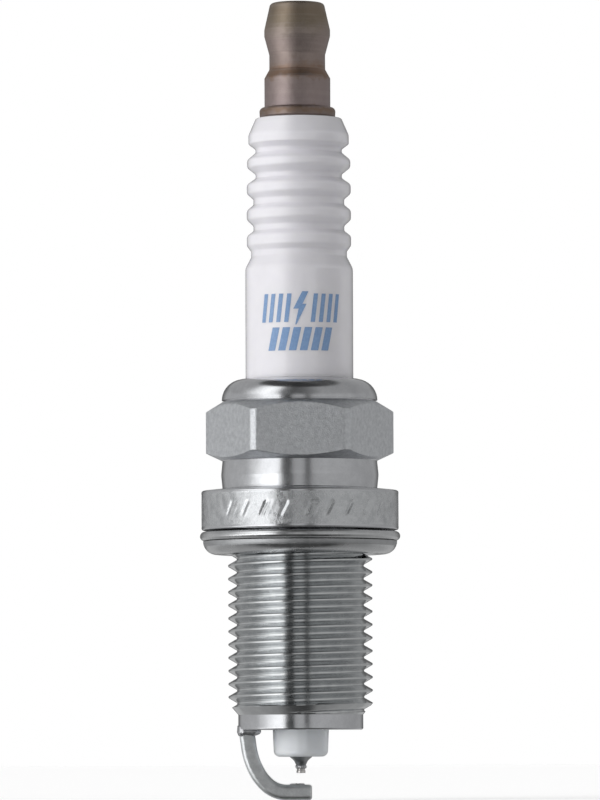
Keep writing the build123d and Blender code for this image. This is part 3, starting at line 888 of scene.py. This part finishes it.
def rounded_rectangle(half_u, half_v, radius, step):
    """Outline points (u, v) of a rectangle with round corners, counter-clockwise."""
    out = []
    for corner, (su, sv) in enumerate([(1, 1), (-1, 1), (-1, -1), (1, -1)]):
        centre = (su * (half_u - radius), sv * (half_v - radius))
        for piece in range(90 // step + 1):
            angle = math.radians(corner * 90 + piece * step)
            out.append((centre[0] + radius * math.cos(angle), centre[1] + radius * math.sin(angle)))
    full = []
    for index, point in enumerate(out):
        following = out[(index + 1) % len(out)]
        full.append(point)
        run = math.dist(point, following)
        if run > 0.4:
            pieces = math.ceil(run / 0.3)
            full += [tuple(a + (b - a) * k / pieces for a, b in zip(point, following))
                     for k in range(1, pieces)]
    return full


# Bends of the side electrode from the shell down, as (radius, degrees), after a straight leg
STRAP_BENDS = ((6.86, 22.0), (4.56, 18.0), (2.76, 42.0))
STRAP_TILT = 8.0
STRAP_TOP_X = -5.178
STRAP_TIP_X = 1.04
STRAP_TIP_EDGE = 0.28


def strap_line():
    """Middle of the strip from the shell's end to where its tip starts to round."""
    drop = STRAP_THICK / 2 - STRAP_FACE - REACH
    heading = math.radians(STRAP_TILT)
    for radius, degrees in STRAP_BENDS:
        turn = heading + math.radians(degrees)
        drop -= radius * (math.sin(turn) - math.sin(heading))
        heading = turn
    moves = [(drop / math.cos(math.radians(STRAP_TILT)),), *STRAP_BENDS]
    line = track((STRAP_TOP_X, -REACH), STRAP_TILT - 90, moves, step=3, run_step=0.25)
    last_run = STRAP_TIP_X - STRAP_TIP_EDGE - line[-1][0]
    return line + track(line[-1][:2], 0, [(last_run,)], step=3, run_step=0.25)[1:]


def make_strap():
    """Side electrode: round-edged strip bent over the firing tip."""
    line = strap_line()
    end_x, end_z, _ = line[-1]
    skin = Skin()
    half_u, half_v = STRAP_WIDTH / 2, STRAP_THICK / 2
    outline = rounded_rectangle(half_u, half_v, STRAP_EDGE, step=15)

    def section(x, z, theta, inset=0.0, start=False):
        """Ring of the strip's outline across the line; the first is cut level with the shell's end."""
        first = len(skin.points)
        direction = (math.cos(theta), math.sin(theta))
        across = (-math.sin(theta), math.cos(theta))
        scale_u = (half_u - inset) / half_u
        scale_v = (half_v - inset) / half_v
        for u, v in outline:
            u, v = u * scale_u, v * scale_v
            px, pz = x + across[0] * v, z + across[1] * v
            if start:
                shift = (-REACH + 0.02 - pz) / direction[1]
                px, pz = px + direction[0] * shift, pz + direction[1] * shift
            rough = 0.008 * ripple(px, u, pz, 0.9)
            skin.points.append((
                (px + across[0] * rough) * MM, u * MM, (pz + LIFT + across[1] * rough) * MM))
        return list(range(first, len(skin.points)))

    rings = [section(*line[0], start=True)] + [section(*place) for place in line[1:]]
    for degrees in (15, 30, 45, 60, 75, 90):
        angle = math.radians(degrees)
        rings.append(section(end_x + STRAP_TIP_EDGE * math.sin(angle), end_z, 0,
                             inset=STRAP_TIP_EDGE * (1 - math.cos(angle))))
    rings.append(section(end_x + STRAP_TIP_EDGE, end_z, 0, inset=STRAP_TIP_EDGE + 0.04))
    for above, below in zip(rings, rings[1:]):
        skin.band(above, below, 0)
    skin.face(rings[0][::-1], 0)
    skin.face(rings[-1], 0)
    return make_object("ground_strap", skin, [metals["nickel_alloy"]], "plug", sharp=40)


strap = make_strap()
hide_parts("ground_electrode")


BEAD_X = -5.03
BEAD_HALF_THICK = 0.78
BEAD_HALF_WIDTH = 1.46
BEAD_CORNER = 0.5
BEAD_PARTS = 28


def make_weld_bead():
    """Lumpy bead round the strap's foot, thicker inside and lapped up the shell's edge outside."""
    skin = Skin()
    outline = rounded_rectangle(BEAD_HALF_THICK, BEAD_HALF_WIDTH, BEAD_CORNER, step=9)
    rings = []
    for number, (u, v) in enumerate(outline):
        before, after = outline[number - 1], outline[(number + 1) % len(outline)]
        run = Vector((after[0] - before[0], after[1] - before[1])).normalized()
        outward = Vector((run.y, -run.x))
        outside = max(0, -outward.x)
        inside = max(0, outward.x)
        half_wide = 0.27 + 0.13 * inside - 0.03 * outside
        half_tall = 0.34 + 0.2 * outside
        middle_z = -REACH - 0.1 + 0.09 * outside
        lump = 1.04 + 0.46 * ripple(u, v, 0.0, 0.3) + 0.24 * ripple(u, v, 4.0, 0.13)
        first = len(skin.points)
        for part in range(BEAD_PARTS):
            angle = TAU * part / BEAD_PARTS
            pit = 1 + 0.16 * ripple(u * 2, v * 2, angle, 0.35)
            out = half_wide * lump * pit * math.cos(angle)
            z = middle_z + half_tall * lump * pit * math.sin(angle)
            skin.points.append((
                (BEAD_X + u + outward.x * out) * MM, (v + outward.y * out) * MM, (z + LIFT) * MM))
        rings.append(list(range(first, len(skin.points))))
    for above, below in zip(rings, rings[1:] + rings[:1]):
        skin.band(above, below, 0)
    return make_object("ground_weld_bead", skin, [metals["weld_metal"]], "plug", sharp=80)


bead = make_weld_bead()
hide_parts("ground_weld")

# ---------------------------------------------------------------- firing end
electrode = turned(
    "centre_electrode_skin",
    [(0.57, -2.4), (1.0, -2.4), (1.0, -3.2), (1.8, -3.2), (1.8, -4.4), (ELECTRODE_R, -5.1),
     (ELECTRODE_R, NOSE_END, 0.08), (0.66, -21.93, 0.6), (0.465, -22.35), (0, -22.35), (0, -19.5),
     (0.57, -19.5)],
    [metals["dark_nickel"]])
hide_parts("centre_electrode")

tip = turned(
    "iridium_tip_skin",
    [(0, TIP_START), (0.42, TIP_START), (0.42, -22.7, 0.02), (0.385, -22.75, 0.03),
     (0.385, -22.82, 0.03), (0.43, -22.88, 0.03), (0.43, TIP_END, 0.05), (0, TIP_END)],
    [metals["iridium"]], columns=64, closed=False)
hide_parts("iridium_tip")


def tip_weld_ripple(angle, radius, height):
    """Overlapping laser spots round the outside of the tip's weld."""
    if radius <= 0.44:
        return 0
    return 0.02 * math.sin(11 * angle) + 0.02 * ripple(math.cos(angle), math.sin(angle), height * 3, 0.4)


tip_weld = turned(
    "tip_weld_skin",
    [(0.36, TIP_START), (0.46, -22.33, 0.03), (0.53, -22.45, 0.06), (0.52, -22.6, 0.06),
     (0.4, -22.7, 0.02), (0.36, -22.7)],
    [metals["weld_metal"]], wobble=tip_weld_ripple)
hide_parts("tip_weld")

chip = turned(
    "ground_chip_skin",
    [(0, STRAP_FACE + 0.1), (CHIP_R, STRAP_FACE + 0.1, 0.05), (CHIP_R, STRAP_FACE - 0.25),
     (0, STRAP_FACE - 0.25)],
    [metals["platinum"]], columns=64, closed=False)
move_x(chip, CHIP_X)
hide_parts("ground_chip")


def chip_weld_ripple(angle, radius, height):
    """Uneven rim of the melt round the chip."""
    return 0.06 * ripple(2 * math.cos(angle), 2 * math.sin(angle), height, 0.4) if radius > 0.6 else 0


chip_weld = turned(
    "ground_chip_weld_skin",
    [(0.4, STRAP_FACE + 0.03), (0.5, STRAP_FACE + 0.05, 0.02), (0.66, STRAP_FACE + 0.035, 0.05),
     (0.76, STRAP_FACE - 0.02, 0.02), (0.72, STRAP_FACE - 0.1), (0.4, STRAP_FACE - 0.1)],
    [metals["weld_metal"]], wobble=chip_weld_ripple)
for vertex in chip_weld.data.vertices:
    x, y, z = (value / MM for value in vertex.co)
    if z - LIFT > STRAP_FACE:
        vertex.co.z += (0.05 + 0.09 * ripple(x, y, 0.0, 0.22)) * MM
move_x(chip_weld, CHIP_X)
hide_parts("ground_chip_weld")

# ---------------------------------------------------------------- sealed pieces kept from the CAD
for node, material in {
    "centre_core": metals["copper"], "upper_glass_seal": seal_glass, "lower_glass_seal": seal_glass,
    "resistor": resistor_mix, "upper_packing_ring": metals["plain_steel"],
    "lower_packing_ring": metals["plain_steel"], "talc_fill": talc, "seat_packing": metals["plain_steel"],
}.items():
    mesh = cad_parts[node].data
    mesh.materials.clear()
    mesh.materials.append(material)


# ---------------------------------------------------------------- stage, light and camera
FLOOR_HALF = 0.6
FLOOR_GAP = 0.00002
FLOOR_GLOW = 0.55


def make_floor():
    """Pale floor just under the plug, left out of its reflections and of the light thrown back on it."""
    floor_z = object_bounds()[0][2] - FLOOR_GAP
    corners = [(x * FLOOR_HALF, y * FLOOR_HALF, floor_z) for x, y in ((-1, -1), (1, -1), (1, 1), (-1, 1))]
    mesh = bpy.data.meshes.new("floor")
    mesh.from_pydata(corners, [], [(0, 1, 2, 3)])
    material, _, _, shader = tree("floor")
    shader.inputs["Base Color"].default_value = (0.9, 0.9, 0.9, 1)
    shader.inputs["Roughness"].default_value = 0.9
    shader.inputs["Specular IOR Level"].default_value = 0.0
    shader.inputs["Emission Color"].default_value = (1, 1, 1, 1)
    shader.inputs["Emission Strength"].default_value = FLOOR_GLOW
    mesh.materials.append(material)
    floor = bpy.data.objects.new("floor", mesh)
    bpy.context.scene.collection.objects.link(floor)
    floor.visible_glossy = False
    floor.visible_diffuse = False


make_floor()

# Light round the plug, as (degrees from the front, level); negative is to the left
LEVEL_LIGHT = ((-180, 0.1), (-160, 0.16), (-142, 0.46), (-113, 0.52), (-88, 0.52), (-75, 0.78), (-64, 1.1),
               (-54, 1.4), (-35, 1.5), (-31, 1.4), (-28, 0.3), (-22, 0.08), (-14, 0.08), (-10, 0.46),
               (2, 0.5), (6, 0.42), (9, 0.14), (14, 0.16), (18, 0.46), (36, 0.5), (80, 0.44), (120, 0.38),
               (142, 0.4), (160, 0.16), (180, 0.1))
TOP_LIGHT = ((-180, 0.42), (-110, 0.42), (-94, 0.5), (-73, 1.2), (-56, 1.6), (-40, 1.3), (-28, 0.2),
             (-12, 0.11), (8, 0.16), (35, 0.36), (90, 0.34), (150, 0.38), (180, 0.42))
ZENITH_LIGHT = ((-180, 0.1), (-130, 0.07), (-75, 0.06), (-30, 0.04), (40, 0.05), (80, 0.1), (130, 0.1),
                (180, 0.1))
UNDER_LIGHT = ((-180, 0.5), (-120, 0.5), (-92, 0.8), (-80, 2.0), (-34, 2.3), (-30, 0.9), (-24, 0.1),
               (-12, 0.1), (-8, 0.4), (2, 0.44), (8, 0.15), (14, 0.2), (20, 0.4), (100, 0.4), (180, 0.5))
LOW_LIGHT = ((-180, 0.4), (-140, 0.4), (-110, 0.35), (-90, 0.3), (-60, 0.08), (50, 0.05), (75, 0.25),
             (120, 0.35), (180, 0.4))

# Bands of light above the lowest, as (rise from, rise to, light); a rise of 1 is straight up
BANDS = ((-0.46, -0.38, UNDER_LIGHT), (-0.17, -0.12, LEVEL_LIGHT), (0.26, 0.36, TOP_LIGHT),
         (0.8, 0.88, ZENITH_LIGHT))


def make_world():
    """Studio of soft panels given by direction round the object, plain white behind it."""
    world = bpy.data.worlds.new("studio")
    bpy.context.scene.world = world
    world.use_nodes = True
    nodes, links = world.node_tree.nodes, world.node_tree.links
    nodes.clear()

    def math_node(kind, first, second):
        node = nodes.new("ShaderNodeMath")
        node.operation = kind
        for socket, value in zip(node.inputs, (first, second)):
            if isinstance(value, (int, float)):
                socket.default_value = value
            else:
                links.new(value, socket)
        return node.outputs[0]

    place = nodes.new("ShaderNodeTexCoord")
    apart = nodes.new("ShaderNodeSeparateXYZ")
    links.new(place.outputs["Generated"], apart.inputs[0])
    x, y, z = apart.outputs
    turn = math_node("ARCTAN2", x, math_node("MULTIPLY", y, -1.0))
    share = math_node("MULTIPLY_ADD", turn, 1 / TAU)
    share.node.inputs[2].default_value = 0.5

    def ramp(stops):
        return ramp_node(nodes, links, share,
                         [(degrees / 360 + 0.5, (level, level, level)) for degrees, level in stops])

    panels = ramp(LOW_LIGHT)
    for low, high, light in BANDS:
        rise = nodes.new("ShaderNodeMapRange")
        rise.interpolation_type = "SMOOTHSTEP"
        rise.inputs["From Min"].default_value = low
        rise.inputs["From Max"].default_value = high
        links.new(z, rise.inputs["Value"])
        join = nodes.new("ShaderNodeMix")
        join.data_type = "RGBA"
        links.new(rise.outputs["Result"], join.inputs[0])
        links.new(panels, join.inputs[6])
        links.new(ramp(light), join.inputs[7])
        panels = join.outputs[2]
    studio = nodes.new("ShaderNodeBackground")
    links.new(panels, studio.inputs["Color"])
    white = nodes.new("ShaderNodeBackground")
    white.inputs["Color"].default_value = (1, 1, 1, 1)
    path = nodes.new("ShaderNodeLightPath")
    choose = nodes.new("ShaderNodeMixShader")
    links.new(path.outputs["Is Camera Ray"], choose.inputs[0])
    links.new(studio.outputs[0], choose.inputs[1])
    links.new(white.outputs[0], choose.inputs[2])
    out = nodes.new("ShaderNodeOutputWorld")
    links.new(choose.outputs[0], out.inputs["Surface"])


make_world()

# Soft lights on the ceramic, as (name, degrees from the front, degrees up, strength, degrees wide)
LIGHTS = (("key", -72, 8, 1.8, 50), ("fill", 36, -42, 1.42, 90), ("side", 78, 0, 0.13, 60))


def make_lights():
    """Broad suns that light the ceramic and leave no mirror image in the metal."""
    for name, turn, rise, energy, width in LIGHTS:
        light = bpy.data.lights.new(name, "SUN")
        light.energy = energy
        light.angle = math.radians(width)
        lamp = bpy.data.objects.new(name, light)
        turn, rise = math.radians(turn), math.radians(rise)
        level = math.cos(rise)
        toward = Vector((math.sin(turn) * level, -math.cos(turn) * level, math.sin(rise)))
        lamp.rotation_euler = toward.to_track_quat("Z", "Y").to_euler()
        lamp.visible_glossy = False
        bpy.context.scene.collection.objects.link(lamp)


make_lights()

# Nearly level in front of the plug, in metres and radians
CAMERA_AWAY = 0.6
CAMERA_TURN = math.radians(-0.4)
CAMERA_ASIDE = 0.00004
CAMERA_Z = -0.01677
CAMERA_PITCH = math.radians(3.007)
CAMERA_ROLL = math.radians(-0.22)
CAMERA_LENS = 283.2

lens = bpy.data.cameras.new("camera")
lens.lens = CAMERA_LENS
lens.clip_start = 0.05
camera = bpy.data.objects.new("camera", lens)
place = Vector((CAMERA_AWAY * math.sin(CAMERA_TURN) + CAMERA_ASIDE, -CAMERA_AWAY * math.cos(CAMERA_TURN),
                CAMERA_Z))
camera.matrix_world = (
    Matrix.Translation(place) @ Matrix.Rotation(CAMERA_TURN, 4, "Z")
    @ Matrix.Rotation(math.pi / 2 + CAMERA_PITCH, 4, "X") @ Matrix.Rotation(CAMERA_ROLL, 4, "Z"))
bpy.context.scene.collection.objects.link(camera)
bpy.context.scene.camera = camera
bpy.context.scene.view_settings.view_transform = "Standard"
